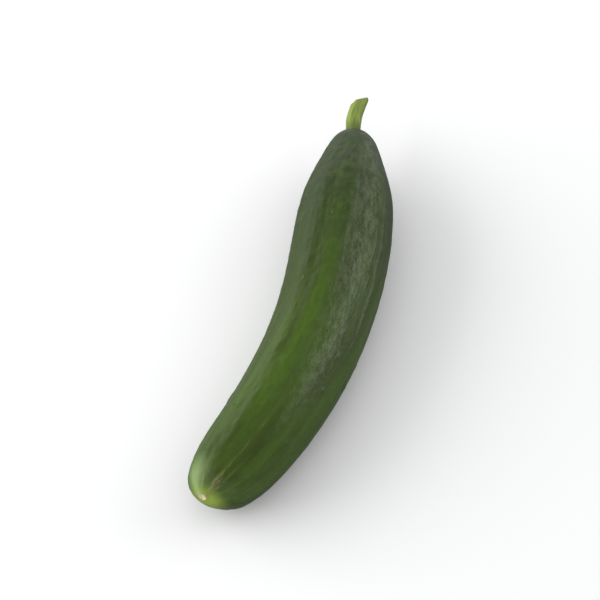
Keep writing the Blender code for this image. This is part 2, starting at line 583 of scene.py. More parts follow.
@dataclass(frozen=True)
class Pimples:
    """Small crisp pimples and fine wrinkles on the skin, most of them on the dusty flank that also carries a
    painted sheen.
    """

    straying: Clouds = Clouds(2.5 * MM)
    stray: float = 1.5 * MM
    dots: Dots = Dots(3.2 * MM, along=0.6, passes=(0.06, 0.30), shares=(1.0, 0.0))
    lines: Clouds = Clouds(2.0 * MM, 3.0, 0.6, along=0.22)
    line_level: float = 0.5
    line_passes: tuple[float, float] = (0.0, 0.09)
    line_heights: tuple[float, float] = (0.45, 0.0)
    on_clean_skin: float = 0.15
    depth: float = 0.28 * MM
    strength: float = 0.9

    def normal(self, board: Board, place: Socket, dust_and_sheen_share: Socket, under: Socket) -> Socket:
        """Raise the pimples and the wrinkles.

        Args:
            board: The material's board.
            place: Where each point of the skin grew.
            dust_and_sheen_share: How much of the flank's dust and painted sheen there is, from 0 to 1.
            under: The normal of the skin that they stand on.

        Returns:
            The normal.
        """
        strayed = board.add("VectorMath", operation="MULTIPLY_ADD")
        parts = ((self.stray,) * 3, self.straying.raw(board, place), place)
        for socket, given in zip(strayed.inputs, parts):
            board.feed(socket, given)
        bent = strayed.outputs[0]
        off_line = board.sums("SUBTRACT", self.lines.raw(board, bent), self.line_level)
        wrinkles = board.between(board.sums("ABSOLUTE", off_line), *self.line_passes, *self.line_heights)
        share = board.sums("MULTIPLY", dust_and_sheen_share, 1 - self.on_clean_skin)
        share = board.sums("ADD", share, self.on_clean_skin)
        height = board.sums("ADD", self.dots.read(board, bent), wrinkles)
        return board.bump(board.sums("MULTIPLY", height, share), self.depth, self.strength, under)


@dataclass(frozen=True)
class SkinFinish:
    """Dark green, waxy skin: streaked, speckled, darker to the stem and paler at the blossom, with painted
    shade, sheen and highlight.
    """

    deep: Colour = (0.034, 0.058, 0.007, 1)
    fresh: Colour = (0.048, 0.096, 0.008, 1)
    stripe: Colour = (0.062, 0.100, 0.012, 1)
    speckle: Colour = (0.072, 0.105, 0.022, 1)
    streak: Colour = (0.230, 0.290, 0.060, 1)
    halo: Colour = (0.235, 0.315, 0.040, 1)
    # Painted highlight: a pale grey-green patch beside the blossom scar, standing in for a soft reflection.
    painted_highlight_side: Colour = (0.270, 0.370, 0.150, 1)
    # The darker green that the skin turns towards the stem end.
    bloom: Colour = (0.021, 0.035, 0.009, 1)
    # Pale grey-green dust on the flank; it also paints the sheen of a soft reflection there.
    dust: Colour = (0.110, 0.142, 0.070, 1)
    scar: Colour = (0.520, 0.450, 0.290, 1)
    scar_rim: Colour = (0.270, 0.220, 0.100, 1)
    scuff: Colour = (0.230, 0.175, 0.085, 1)
    bands: Clouds = Clouds(7.0 * MM, along=0.10, passes=(0.35, 0.66))
    stripes: Clouds = Clouds(1.3 * MM, 2.0, 0.6, along=0.045, passes=(0.50, 0.75), shares=(0.0, 0.35))
    mottling: Clouds = Clouds(2.2 * MM, 4.0, 0.65, along=0.7, passes=(0.45, 0.75), shares=(0.0, 0.45))
    speckles: Dots = Dots(1.5 * MM, along=0.6, passes=(0.06, 0.20), shares=(0.28, 0.0))
    broken: Clouds = Clouds(1.6 * MM, 3.0, 0.65, along=0.12, passes=(0.30, 0.62))
    halo_patches: Clouds = Clouds(4.0 * MM, 3.0, 0.6, passes=(0.25, 0.60), shares=(0.55, 1.0))
    stem_darkening_patches: Clouds = Clouds(4.0 * MM, 3.0, 0.6, passes=(0.30, 0.65), shares=(0.40, 1.0))
    crazing: Clouds = Clouds(2.1 * MM, 4.0, 0.7, along=0.40, passes=(0.38, 0.64), shares=(0.05, 0.70))
    # How strongly the painted highlight shows.
    painted_highlight_share: float = 0.65
    # How much painted shade darkens the grooves.
    groove_shade_share: float = 0.2
    scuff_flecks: Clouds = Clouds(0.7 * MM, 3.0, 0.7, passes=(0.40, 0.58))
    cork_flecks: Clouds = Clouds(0.7 * MM, 3.0, 0.7, passes=(0.42, 0.60))
    scar_ring: tuple[float, float] = (0.15, 0.75)
    scar_middle: tuple[float, float] = (0.55, 0.95)
    wear: Clouds = Clouds(3.5 * MM, 3.0, 0.6, along=0.5)
    stem_end_dulling: float = 0.5
    wear_passes: tuple[float, float] = (0.3, 1.2)
    roughness: tuple[float, float] = (0.30, 0.44)
    gloss: float = 0.34
    pebbles: Pebbling = Pebbling(1.1 * MM, along=0.6, fine_share=0.35, depth=0.11 * MM)
    pimples: Pimples = Pimples()

    def make(self, grain: bpy.types.NodeTree) -> bpy.types.Material:
        """Build the material.

        Args:
            grain: The shared grain group.

        Returns:
            The material.
        """
        material, board, shader = plain_material("cucumber_skin")
        place = board.field(GROWN_PLACE)
        marks = self._marks(board)
        colour = self._greens(board, place)
        colour = self._ripening(board, place, marks, colour)
        colour = self._flaws(board, place, marks, colour)
        board.feed(shader.inputs["Base Color"], colour)
        board.feed(shader.inputs["Roughness"], self._worn(board, place, marks))
        shader.inputs["Specular IOR Level"].default_value = self.gloss
        normal = self.pebbles.normal(board, grain, place)
        board.feed(shader.inputs["Normal"], self.pimples.normal(board, place, marks[Mark.DUST], normal))
        return material

    def _marks(self, board: Board) -> dict[Mark, Socket]:
        """Read the painted fields.

        Args:
            board: The material's board.

        Returns:
            One socket for each field.
        """
        names = sorted({mark.value[0] for mark in Mark})
        parts = {name: board.split(board.field(name)) for name in names}
        return {mark: parts[mark.value[0]][mark.value[1]] for mark in Mark}

    def _greens(self, board: Board, place: Socket) -> Socket:
        """Mix the greens of the bare skin: broad bands, fine stripes, mottling and speckles.

        Args:
            board: The material's board.
            place: Where each point of the skin grew.

        Returns:
            The colour.
        """
        colour = board.blend(self.bands.read(board, place), self.deep, self.fresh)
        colour = board.blend(self.stripes.read(board, place), colour, self.stripe)
        colour = board.blend(self.mottling.read(board, place), colour, self.deep)
        return board.blend(self.speckles.read(board, place), colour, self.speckle)

    def _ripening(self, board: Board, place: Socket, marks: dict[Mark, Socket], colour: Socket) -> Socket:
        """Add the blossom end's streaks, halo and painted highlight, the darkening towards the stem and the
        flank's dust and painted sheen.

        Args:
            board: The material's board.
            place: Where each point of the skin grew.
            marks: The painted fields.
            colour: The colour below.

        Returns:
            The colour.
        """
        streaks = board.sums("MULTIPLY", marks[Mark.STREAK], self.broken.read(board, place))
        colour = board.blend(streaks, colour, self.streak)
        halo = board.sums("MULTIPLY", marks[Mark.HALO], self.halo_patches.read(board, place))
        colour = board.blend(halo, colour, self.halo)
        # Painted highlight on the blossom end's pale side.
        pale = board.sums("MULTIPLY", marks[Mark.PALE], self.painted_highlight_share)
        colour = board.blend(pale, colour, self.painted_highlight_side)
        # Darker towards the stem end.
        bloom = board.sums("MULTIPLY", marks[Mark.BLOOM], self.stem_darkening_patches.read(board, place))
        colour = board.blend(bloom, colour, self.bloom)
        # The flank's dust together with its painted sheen.
        dust = board.sums("MULTIPLY", marks[Mark.DUST], self.crazing.read(board, place))
        return board.blend(dust, colour, self.dust)

    def _flaws(self, board: Board, place: Socket, marks: dict[Mark, Socket], colour: Socket) -> Socket:
        """Add the painted shade in the grooves, the corky scuffs and the blossom scar.

        Args:
            board: The material's board.
            place: Where each point of the skin grew.
            marks: The painted fields.
            colour: The colour below.

        Returns:
            The colour.
        """
        # Painted shade in the grooves.
        shaded = board.sums("MULTIPLY", marks[Mark.GROOVE], self.groove_shade_share)
        colour = board.blend(shaded, colour, self.deep)
        scuffs = board.sums("MULTIPLY", marks[Mark.SCUFF], self.scuff_flecks.read(board, place))
        colour = board.blend(scuffs, colour, self.scuff)
        cork = board.blend(self.cork_flecks.read(board, place), self.scar_rim, self.scar)
        ring = board.between(marks[Mark.SCAR], *self.scar_ring)
        middle = board.between(marks[Mark.SCAR], *self.scar_middle)
        return board.blend(ring, colour, board.blend(middle, cork, self.scar))

    def _worn(self, board: Board, place: Socket, marks: dict[Mark, Socket]) -> Socket:
        """Make the skin unevenly rough, duller towards the stem end and dull on the scar.

        Args:
            board: The material's board.
            place: Where each point of the skin grew.
            marks: The painted fields.

        Returns:
            The roughness.
        """
        dulled = board.sums("MULTIPLY", marks[Mark.BLOOM], self.stem_end_dulling)
        worn = board.sums("ADD", self.wear.raw(board, place), dulled)
        worn = board.sums("ADD", worn, marks[Mark.SCAR])
        return board.between(worn, *self.wear_passes, *self.roughness)


@dataclass(frozen=True)
class StalkFinish:
    """The stalk's yellow-green ribbed rind, darker at its root, with fine fibres along it."""

    pale: Colour = (0.225, 0.300, 0.060, 1)
    dark: Colour = (0.150, 0.205, 0.036, 1)
    root: Colour = (0.075, 0.108, 0.020, 1)
    root_reach: float = 7.0 * MM
    root_share: float = 0.85
    lines: Clouds = Clouds(0.8 * MM, 3.0, 0.6, along=0.10, passes=(0.36, 0.62))
    roughness: Clouds = Clouds(0.8 * MM, 3.0, 0.6, along=0.10, shares=(0.45, 0.62))
    gloss: float = 0.3
    fibres: Pebbling = Pebbling(0.35 * MM, along=0.12, fine_share=0.5, depth=0.06 * MM, strength=0.9)

    def make(self, grain: bpy.types.NodeTree, root_end: float) -> bpy.types.Material:
        """Build the material.

        Args:
            grain: The shared grain group.
            root_end: The station where the stalk comes out of the fruit.

        Returns:
            The material.
        """
        material, board, shader = plain_material("stalk_rind")
        place = board.field(GROWN_PLACE)
        colour = board.blend(self.lines.read(board, place), self.dark, self.pale)
        station = board.split(place)[0]
        near_root = board.between(station, root_end, root_end + self.root_reach, self.root_share, 0.0)
        colour = board.blend(near_root, colour, self.root)
        board.feed(shader.inputs["Base Color"], colour)
        board.feed(shader.inputs["Roughness"], self.roughness.read(board, place))
        shader.inputs["Specular IOR Level"].default_value = self.gloss
        board.feed(shader.inputs["Normal"], self.fibres.normal(board, grain, place))
        return material


@dataclass(frozen=True)
class CutFinish:
    """The cut across the stalk: pale, moist pith in a greener rim, dotted where the vessels end."""

    pith: Colour = (0.520, 0.560, 0.290, 1)
    rim: Colour = (0.230, 0.300, 0.090, 1)
    vessel: Colour = (0.300, 0.280, 0.120, 1)
    rim_radii: tuple[float, float] = (1.575 * MM, 2.310 * MM)
    vessels: Dots = Dots(0.9 * MM, along=0.0, passes=(0.12, 0.32), shares=(0.8, 0.0))
    roughness: Clouds = Clouds(0.5 * MM, 3.0, 0.6, along=0.0, shares=(0.40, 0.65))
    pores: Pebbling = Pebbling(0.35 * MM, along=0.0, fine_share=0.4, depth=0.08 * MM)

    def make(self, grain: bpy.types.NodeTree) -> bpy.types.Material:
        """Build the material.

        Args:
            grain: The shared grain group.

        Returns:
            The material.
        """
        material, board, shader = plain_material("stalk_cut")
        place = board.field(GROWN_PLACE)
        radius = board.length(board.drawn_out(place, 0.0))
        colour = board.blend(board.between(radius, *self.rim_radii), self.pith, self.rim)
        colour = board.blend(self.vessels.read(board, place), colour, self.vessel)
        board.feed(shader.inputs["Base Color"], colour)
        board.feed(shader.inputs["Roughness"], self.roughness.read(board, place))
        board.feed(shader.inputs["Normal"], self.pores.normal(board, grain, place))
        return material


@dataclass(frozen=True)
class FloorFinish:
    """The studio's pale, matt floor; what the skin mirrors of it near by is darker, for deep rims."""

    white: Colour = (0.80, 0.80, 0.80, 1)
    off_white: Colour = (0.78, 0.785, 0.79, 1)
    patch_size: float = 0.3
    mirrored: Colour = (0.26, 0.26, 0.26, 1)
    mirrored_within: tuple[float, float] = (0.10, 0.25)
    roughness: float = 0.9
    gloss: float = 0.1

    def make(self) -> bpy.types.Material:
        """Build the material.

        Returns:
            The material.
        """
        material, board, shader = plain_material("pale_floor")
        place = board.add("TexCoord").outputs["Object"]
        seen = board.blend(board.clouds(place, self.patch_size), self.white, self.off_white)
        glossy = board.add("LightPath").outputs["Is Glossy Ray"]
        near = board.between(board.length(place), *self.mirrored_within, 1.0, 0.0)
        dimmed = board.sums("MULTIPLY", glossy, near)
        board.feed(shader.inputs["Base Color"], board.blend(dimmed, seen, self.mirrored))
        shader.inputs["Roughness"].default_value = self.roughness
        shader.inputs["Specular IOR Level"].default_value = self.gloss
        return material


@dataclass(frozen=True)
class Crease:
    """A narrow raised line along the skin, which drifts round the fruit as it runs."""

    stations: tuple[float, float]
    angles: tuple[float, float]
    width: float
    height: float
    fade: float = 0.25

    def relief(self, share: np.ndarray, angle: np.ndarray, radius: np.ndarray,
               drift: np.ndarray) -> np.ndarray:
        """Work out the line's height over the skin.

        Args:
            share: Each point's station as a share of the fruit's length.
            angle: Its angle round the fruit.
            radius: Its distance from the middle line.
            drift: A slow wander of the line, in radians.

        Returns:
            The height at each point.
        """
        along = (share - self.stations[0]) / (self.stations[1] - self.stations[0])
        middle = self.angles[0] + (self.angles[1] - self.angles[0]) * along + drift
        off = turn_from(angle, middle) * radius
        ends = ease(0, self.fade, along) * (1 - ease(1 - self.fade, 1, along))
        return self.height * ends * bell(off, self.width)


@dataclass(frozen=True)
class SkinRelief:
    """The ribs, warts, scar, creases and fine unevenness that stand on the smooth fruit."""

    lobes: int = 3
    lobe_crest: float = math.radians(90)
    lobe_depth: float = 0.018
    ribs: int = 10
    rib_crest: float = math.radians(-90)
    groove_depths: tuple[float, ...] = tuple(
        depth * MM for depth in (0.0, 0.40, 0.30, 0.28, 0.36, 0.46, 0.28, 0.0))
    groove_strengths: tuple[float, float] = (0.65, 1.25)
    groove_sharpness: float = 1.6
    rib_wander: float = math.radians(5)
    rib_waves: float = 0.8
    seed: int = 7
    warts: int = 26
    wart_stations: tuple[float, float] = (0.12, 0.90)
    wart_angles: tuple[float, float] = (math.radians(-60), math.radians(240))
    wart_radii: tuple[float, float] = (2.2 * MM, 3.2 * MM)
    wart_heights: tuple[float, float] = (0.18 * MM, 0.36 * MM)
    wart_stretch: float = 1.5
    scar_centre: tuple[float, float] = (-0.2 * MM, 1.6 * MM)
    scar_radius: float = 1.5 * MM
    scar_width: float = 0.5 * MM
    scar_height: float = 0.35 * MM
    scar_dimple: float = 0.25 * MM
    scar_reach: tuple[float, float] = (1.0 * MM, 2.0 * MM)
    blossom_fade: tuple[float, float] = (0.0, 6.0 * MM)
    shoulder_fade: tuple[float, float] = (4.0 * MM, 10.0 * MM)
    fine_blossom_fade: tuple[float, float] = (0.0, 5.0 * MM)
    fine_shoulder_fade: tuple[float, float] = (2.0 * MM, 5.0 * MM)
    lone_warts: tuple[tuple[float, float], ...] = (
        (65.0 * MM, math.radians(141)), (51.7 * MM, math.radians(146)), (71.2 * MM, math.radians(119)),
        (30.6 * MM, math.radians(50)), (94.0 * MM, math.radians(112)), (118.0 * MM, math.radians(121)),
    )
    lone_radius: float = 0.85 * MM
    lone_height: float = 0.50 * MM
    pebble_size: tuple[float, float, float] = (3.2 * MM, 2.0 * MM, 2.0 * MM)
    pebble_height: float = 0.12 * MM
    wrinkle_size: tuple[float, float, float] = (14 * MM, 1.5 * MM, 1.5 * MM)
    wrinkle_height: float = 0.06 * MM
    drift: float = 0.07
    drift_size: tuple[float, float, float] = (9 * MM, 1, 1)
    creases: tuple[Crease, ...] = (
        Crease((0.48, 0.88), (math.radians(141), math.radians(127)), 0.60 * MM, 0.50 * MM),
        Crease((0.36, 0.90), (math.radians(155), math.radians(141)), 0.65 * MM, 0.52 * MM),
        Crease((0.01, 0.50), (math.radians(80), math.radians(60)), 2.20 * MM, 0.34 * MM),
        Crease((0.30, 0.80), (math.radians(20), math.radians(34)), 0.90 * MM, 0.16 * MM),
    )

    def groove(self, share: np.ndarray, angle: np.ndarray) -> tuple[np.ndarray, np.ndarray]:
        """Find where the grooves between the ribs run.

        Args:
            share: Each point's station as a share of the fruit's length.
            angle: Its angle round the fruit.

        Returns:
            How deep in a groove each point is, from 0 to 1, and the number of its groove.
        """
        wander = self.rib_wander * np.sin(math.tau * self.rib_waves * share)
        round_place = (angle - self.rib_crest) + wander
        number = np.floor(round_place / math.tau * self.ribs).astype(int) % self.ribs
        return (1 - np.cos(self.ribs * round_place)) / 2, number

    def height(self, station: np.ndarray, angle: np.ndarray, radius: np.ndarray, length: float,
               smooth: np.ndarray) -> np.ndarray:
        """Add up all the relief but the scar.

        Args:
            station: Each point's distance along the middle line.
            angle: Its angle round the line.
            radius: Its distance from the line.
            length: The fruit's length.
            smooth: The smooth fruit's radius at each point.

        Returns:
            The height over the smooth skin at each point.
        """
        share = station / length
        draw = random.Random(self.seed)
        lobes = radius * self.lobe_depth * np.cos(self.lobes * (angle - self.lobe_crest))
        hollow, number = self.groove(share, angle)
        strength = np.array([draw.uniform(*self.groove_strengths) for _ in range(self.ribs)])[number]
        ribs = -smooth_through(self.groove_depths, share) * strength * hollow**self.groove_sharpness
        warts = self._warts(draw, station, angle, length, smooth)
        place = unbent(station, angle, radius)
        fine = self.pebble_height * noise_at(place, self.pebble_size, Layer.PEBBLES)
        fine += self.wrinkle_height * noise_at(place, self.wrinkle_size, Layer.WRINKLES)
        drift = self.drift * noise_at(unbent(station, angle, 0 * radius), self.drift_size, Layer.DRIFT)
        for crease in self.creases:
            fine += crease.relief(share, angle, radius, drift)
        ends = ease(*self.blossom_fade, station) * ease(*self.shoulder_fade, length - station)
        fine_ends = ease(*self.fine_blossom_fade, station)
        fine_ends *= ease(*self.fine_shoulder_fade, length - station)
        return (lobes + ribs + warts) * ends + fine * fine_ends

    def _warts(self, draw: random.Random, station: np.ndarray, angle: np.ndarray, length: float,
               smooth: np.ndarray) -> np.ndarray:
        """Add up the scattered warts and the few small sharp ones.

        Args:
            draw: The source of the scattered warts' places and sizes.
            station: Each point's distance along the middle line.
            angle: Its angle round the line.
            length: The fruit's length.
            smooth: The smooth fruit's radius at each point.

        Returns:
            The warts' height at each point.
        """
        height = np.zeros_like(station)
        for _ in range(self.warts):
            wart_station = draw.uniform(*self.wart_stations) * length
            wart_angle = draw.uniform(*self.wart_angles)
            wart_radius = draw.uniform(*self.wart_radii)
            wart_height = draw.uniform(*self.wart_heights)
            around = turn_from(angle, wart_angle) * smooth
            along = (station - wart_station) / self.wart_stretch
            near = np.clip(1 - (around**2 + along**2) / wart_radius**2, 0, 1)
            height += wart_height * near**2
        for wart_station, wart_angle in self.lone_warts:
            around = turn_from(angle, wart_angle) * smooth
            apart = np.hypot(around, station - wart_station)
            height += self.lone_height * bell(apart, self.lone_radius)
        return height

    def scar(self, station: np.ndarray, angle: np.ndarray, radius: np.ndarray) -> np.ndarray:
        """Shape the blossom scar: a low ring round a dimple.

        Args:
            station: Each point's distance along the middle line.
            angle: Its angle round the line.
            radius: Its distance from the line.

        Returns:
            How far the scar stands out of the tip at each point.
        """
        apart = apart_from(self.scar_centre, angle, radius)
        ring = bell(apart - self.scar_radius, self.scar_width)
        dimple = bell(apart, self.scar_radius / 2)
        relief = self.scar_height * ring - self.scar_dimple * dimple
        return relief * (1 - ease(*self.scar_reach, station))


@dataclass(frozen=True)
class Streak:
    """A thin pale line that runs from the blossom scar along the skin."""

    angle: float
    reach: float
    width: float
    paleness: float
    bend: float = 0.0

    def paint(self, station: np.ndarray, angle: np.ndarray, radius: np.ndarray) -> np.ndarray:
        """Paint the line.

        Args:
            station: Each point's distance along the middle line.
            angle: Its angle round the line.
            radius: Its distance from the line.

        Returns:
            How pale the line is at each point, from 0 to 1.
        """
        off = turn_from(angle, self.angle + self.bend * station / self.reach) * radius
        return self.paleness * bell(off, self.width) * np.clip(1 - station / self.reach, 0, 1)


@dataclass(frozen=True)
class Rub:
    """A short corky scuff, drawn out along the skin by its stretch."""

    station: float
    angle: float
    radius: float
    stretch: float

    def paint(self, station: np.ndarray, angle: np.ndarray, radius: np.ndarray) -> np.ndarray:
        """Paint the scuff.

        Args:
            station: Each point's distance along the middle line.
            angle: Its angle round the line.
            radius: Its distance from the line.

        Returns:
            How scuffed each point is, from 0 to 1.
        """
        around = turn_from(angle, self.angle) * radius
        along = (station - self.station) / self.stretch
        return bell(np.hypot(around, along), self.radius)


@dataclass(frozen=True)
class SkinMarks:
    """The fields painted on the skin for its material to read."""

    seed: int = 8
    streaks: int = 18
    streak_jitter: tuple[float, float] = (-0.3, 0.3)
    streak_reach: tuple[float, float] = (8 * MM, 26 * MM)
    streak_width: tuple[float, float] = (0.18 * MM, 0.42 * MM)
    streak_paleness: tuple[float, float] = (0.1, 0.5)
    streak_bend: tuple[float, float] = (-0.12, 0.12)
    streak_core: float = 2.0 * MM
    streak_start: tuple[float, float] = (1.5 * MM, 3.5 * MM)
    long_streak: Streak = Streak(math.radians(106), 44.0 * MM, 0.32 * MM, 0.45)
    # Where the painted highlight lies beside the blossom scar.
    painted_highlight_angle: float = math.radians(50)
    painted_highlight_width: float = math.radians(24)
    painted_highlight_reach: tuple[float, float] = (1.5 * MM, 12 * MM)
    halo_centre: tuple[float, float] = (-1.2 * MM, -0.4 * MM)
    halo_reach: tuple[float, float] = (2.2 * MM, 8.8 * MM)
    scar_edge: tuple[float, float] = (1.1 * MM, 1.9 * MM)
    scar_end: float = 3.0 * MM
    # Where the skin darkens towards the stem end.
    stem_darkening_from: tuple[float, float] = (0.40, 0.85)
    # Painted shade in the grooves: where it starts and how narrowly it keeps to the groove.
    groove_shade_from: tuple[float, float] = (0.10, 0.40)
    groove_sharpness: float = 3.0
    # Where the dust and its painted sheen lie along the right flank.
    dust_and_sheen_angle: float = math.radians(121)
    dust_and_sheen_width: float = math.radians(20)
    dust_and_sheen_from: tuple[float, float] = (0.15, 0.40)
    rubs: tuple[Rub, ...] = (
        Rub(3.2 * MM, math.radians(111), 0.45 * MM, 4.5),
        Rub(4.5 * MM, math.radians(103), 0.30 * MM, 5.0),
    )
    loose_rubs: int = 4
    rub_shares: tuple[float, float] = (0.2, 0.9)
    rub_angles: tuple[float, float] = (math.radians(-30), math.radians(210))
    rub_radii: tuple[float, float] = (0.12 * MM, 0.20 * MM)
    rub_stretches: tuple[float, float] = (1.5, 5.0)

    def paint(self, form: TurnedForm, station: np.ndarray, angle: np.ndarray, radius: np.ndarray,
              length: float, relief: SkinRelief) -> None:
        """Paint the fields.

        Args:
            form: The fruit's form.
            station: Each point's distance along the middle line.
            angle: Its angle round the line.
            radius: Its distance from the line.
            length: The fruit's length.
            relief: The relief of the fruit's skin.
        """
        share = station / length
        hollow, _ = relief.groove(share, angle)
        from_scar = apart_from(relief.scar_centre, angle, radius)
        from_halo = np.hypot(station, apart_from(self.halo_centre, angle, radius))
        dust_and_sheen_side = bell(angle - self.dust_and_sheen_angle, self.dust_and_sheen_width)
        painted_highlight_side = bell(angle - self.painted_highlight_angle, self.painted_highlight_width)
        fields = {
            Mark.STREAK: self._streaks(station, angle, from_scar),
            # Darker towards the stem end.
            Mark.BLOOM: ease(*self.stem_darkening_from, share),
            Mark.HALO: 1 - ease(*self.halo_reach, from_halo),
            Mark.SCAR: (1 - ease(*self.scar_edge, from_scar)) * (station < self.scar_end),
            Mark.SCUFF: self._scuffs(station, angle, radius, length),
            # Painted shade in the grooves.
            Mark.GROOVE: hollow**self.groove_sharpness * ease(*self.groove_shade_from, share),
            # Painted highlight beside the blossom scar.
            Mark.PALE: painted_highlight_side * (1 - ease(*self.painted_highlight_reach, station)),
            # Dust and painted sheen on the flank.
            Mark.DUST: dust_and_sheen_side * ease(*self.dust_and_sheen_from, share),
        }
        for name in sorted({mark.value[0] for mark in Mark}):
            vectors = np.zeros((len(station), 3))
            for mark, field in fields.items():
                if mark.value[0] == name:
                    vectors[:, mark.value[1]] = field
            form.note(name, vectors)

    def _streaks(self, station: np.ndarray, angle: np.ndarray, from_scar: np.ndarray) -> np.ndarray:
        """Fan pale streaks out from the scar: many thin lines, each with its own reach.

        Args:
            station: Each point's distance along the middle line.
            angle: Its angle round the line.
            from_scar: Its distance from the scar's middle.

        Returns:
            How pale the streaks are at each point, from 0 to 1.
        """
        draw = random.Random(self.seed)
        lines = [self.long_streak]
        for number in range(self.streaks):
            middle = math.tau * (number + draw.uniform(*self.streak_jitter)) / self.streaks
            reach = draw.uniform(*self.streak_reach)
            width = draw.uniform(*self.streak_width)
            paleness = draw.uniform(*self.streak_paleness)
            lines.append(Streak(middle, reach, width, paleness, draw.uniform(*self.streak_bend)))
        radius = np.maximum(from_scar, self.streak_core)
        streaked = np.zeros_like(station)
        for line in lines:
            streaked = np.maximum(streaked, line.paint(station, angle, radius))
        return streaked * ease(*self.streak_start, from_scar)

    def _scuffs(self, station: np.ndarray, angle: np.ndarray, radius: np.ndarray,
                length: float) -> np.ndarray:
        """Scuff the skin, with rubs near the blossom end and loose ones all along.

        Args:
            station: Each point's distance along the middle line.
            angle: Its angle round the line.
            radius: Its distance from the line.
            length: The fruit's length.

        Returns:
            How scuffed each point is, from 0 to 1.
        """
        draw = random.Random(self.seed + 1)
        rubs = list(self.rubs)
        for _ in range(self.loose_rubs):
            place = draw.uniform(*self.rub_shares) * length
            turn = draw.uniform(*self.rub_angles)
            size = draw.uniform(*self.rub_radii)
            rubs.append(Rub(place, turn, size, draw.uniform(*self.rub_stretches)))
        scuffed = np.zeros_like(station)
        for rub in rubs:
            scuffed = np.maximum(scuffed, rub.paint(station, angle, radius))
        return scuffed


@dataclass(frozen=True)
class Fruit:
    """The whole fruit in its skin, bent and lying on a small flat spot."""

    length: float = 170.2 * MM
    widths: tuple[float, ...] = tuple(
        width * MM for width in (18.6, 27.9, 31.5, 33.7, 35.3, 37.2, 35.4, 25.4, 15.3))
    tip: tuple[float, float, float] = (-92.0 * MM, 11.7 * MM, 14.5 * MM)
    headings: tuple[float, ...] = tuple(math.radians(turn) for turn in (-22.3, -6.6, 9.9, 13.0))
    rise: float = 5.1 * MM
    slant: float = math.tan(math.radians(11))
    slant_angle: float = math.radians(-20)
    slant_reach: tuple[float, float] = (1.0 * MM, 9.0 * MM)
    socket_radius: float = 3.3 * MM
    socket_depth: float = 2.4 * MM
    socket_lip: float = 0.05 * MM
    rim_search: float = 0.9
    rim_steps: int = 400
    relief: SkinRelief = SkinRelief()
    marks: SkinMarks = SkinMarks()
    sides: int = 320
    first_step: float = 0.02 * MM
    step_growth: float = 1.15
    widest_step: float = 0.68 * MM

    @property
    def line(self) -> MiddleLine:
        """The fruit's middle line."""
        return MiddleLine(self.tip, self.length, self.headings, self.rise)

    def radius(self, station: np.ndarray) -> np.ndarray:
        """Work out how thick the smooth fruit is.

        Args:
            station: Distances along the middle line.

        Returns:
            The radius at each.
        """
        share = np.arccos(np.clip(1 - 2 * station / self.length, -1, 1)) / math.pi
        knots = (0.0, *(width / 2 for width in self.widths), 0.0)
        return smooth_through(knots, share)

    @property
    def rim(self) -> float:
        """The station near the stem end where the fruit is as wide as the stem's socket."""
        stations = np.linspace(self.rim_search * self.length, self.length, self.rim_steps)
        return float(np.interp(-self.socket_radius, -self.radius(stations), stations))

    def profile(self) -> list[tuple[float, float]]:
        """Lay out the turned profile, close together at both ends, with the stem's socket.

        Returns:
            Stations and radii, from axis to axis.
        """
        half = [0.0]
        step = self.first_step
        while half[-1] < self.length / 2:
            half.append(half[-1] + step)
            step = min(step * self.step_growth, self.widest_step)
        squeeze = self.length / 2 / half[-1]
        front = [station * squeeze for station in half]
        stations = np.array(front + [self.length - station for station in reversed(front[:-1])])
        stations = stations[stations < self.rim - self.socket_lip]
        floor = self.rim - self.socket_depth
        wall = [(self.rim, self.socket_radius), (floor, self.socket_radius), (floor, 0.0)]
        return list(zip(stations.tolist(), self.radius(stations).tolist())) + wall

    def build(self, finish: bpy.types.Material) -> bpy.types.Object:
        """Turn, ridge, bend and mark the fruit.

        Args:
            finish: The skin's material.

        Returns:
            The finished fruit, in place of its plain solid.
        """
        form = TurnedForm("cucumber_fruit", self.profile(), self.sides)
        station, angle, radius = form.coordinates()
        height = self.relief.height(station, angle, radius, self.length, self.radius(station))
        askew = self.slant * radius * np.cos(angle - self.slant_angle)
        askew *= 1 - ease(*self.slant_reach, station)
        grown = station - askew - self.relief.scar(station, angle, radius)
        points = self.line.lay(grown, angle, radius + height)
        points[:, 2] = np.maximum(points[:, 2], 0.0)
        form.move_to(points)
        form.note(GROWN_PLACE, unbent(station, angle, radius))
        self.marks.paint(form, station, angle, radius, self.length, self.relief)
        piece = form.finish([finish])
        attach(piece, "root")
        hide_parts("fruit")
        return piece


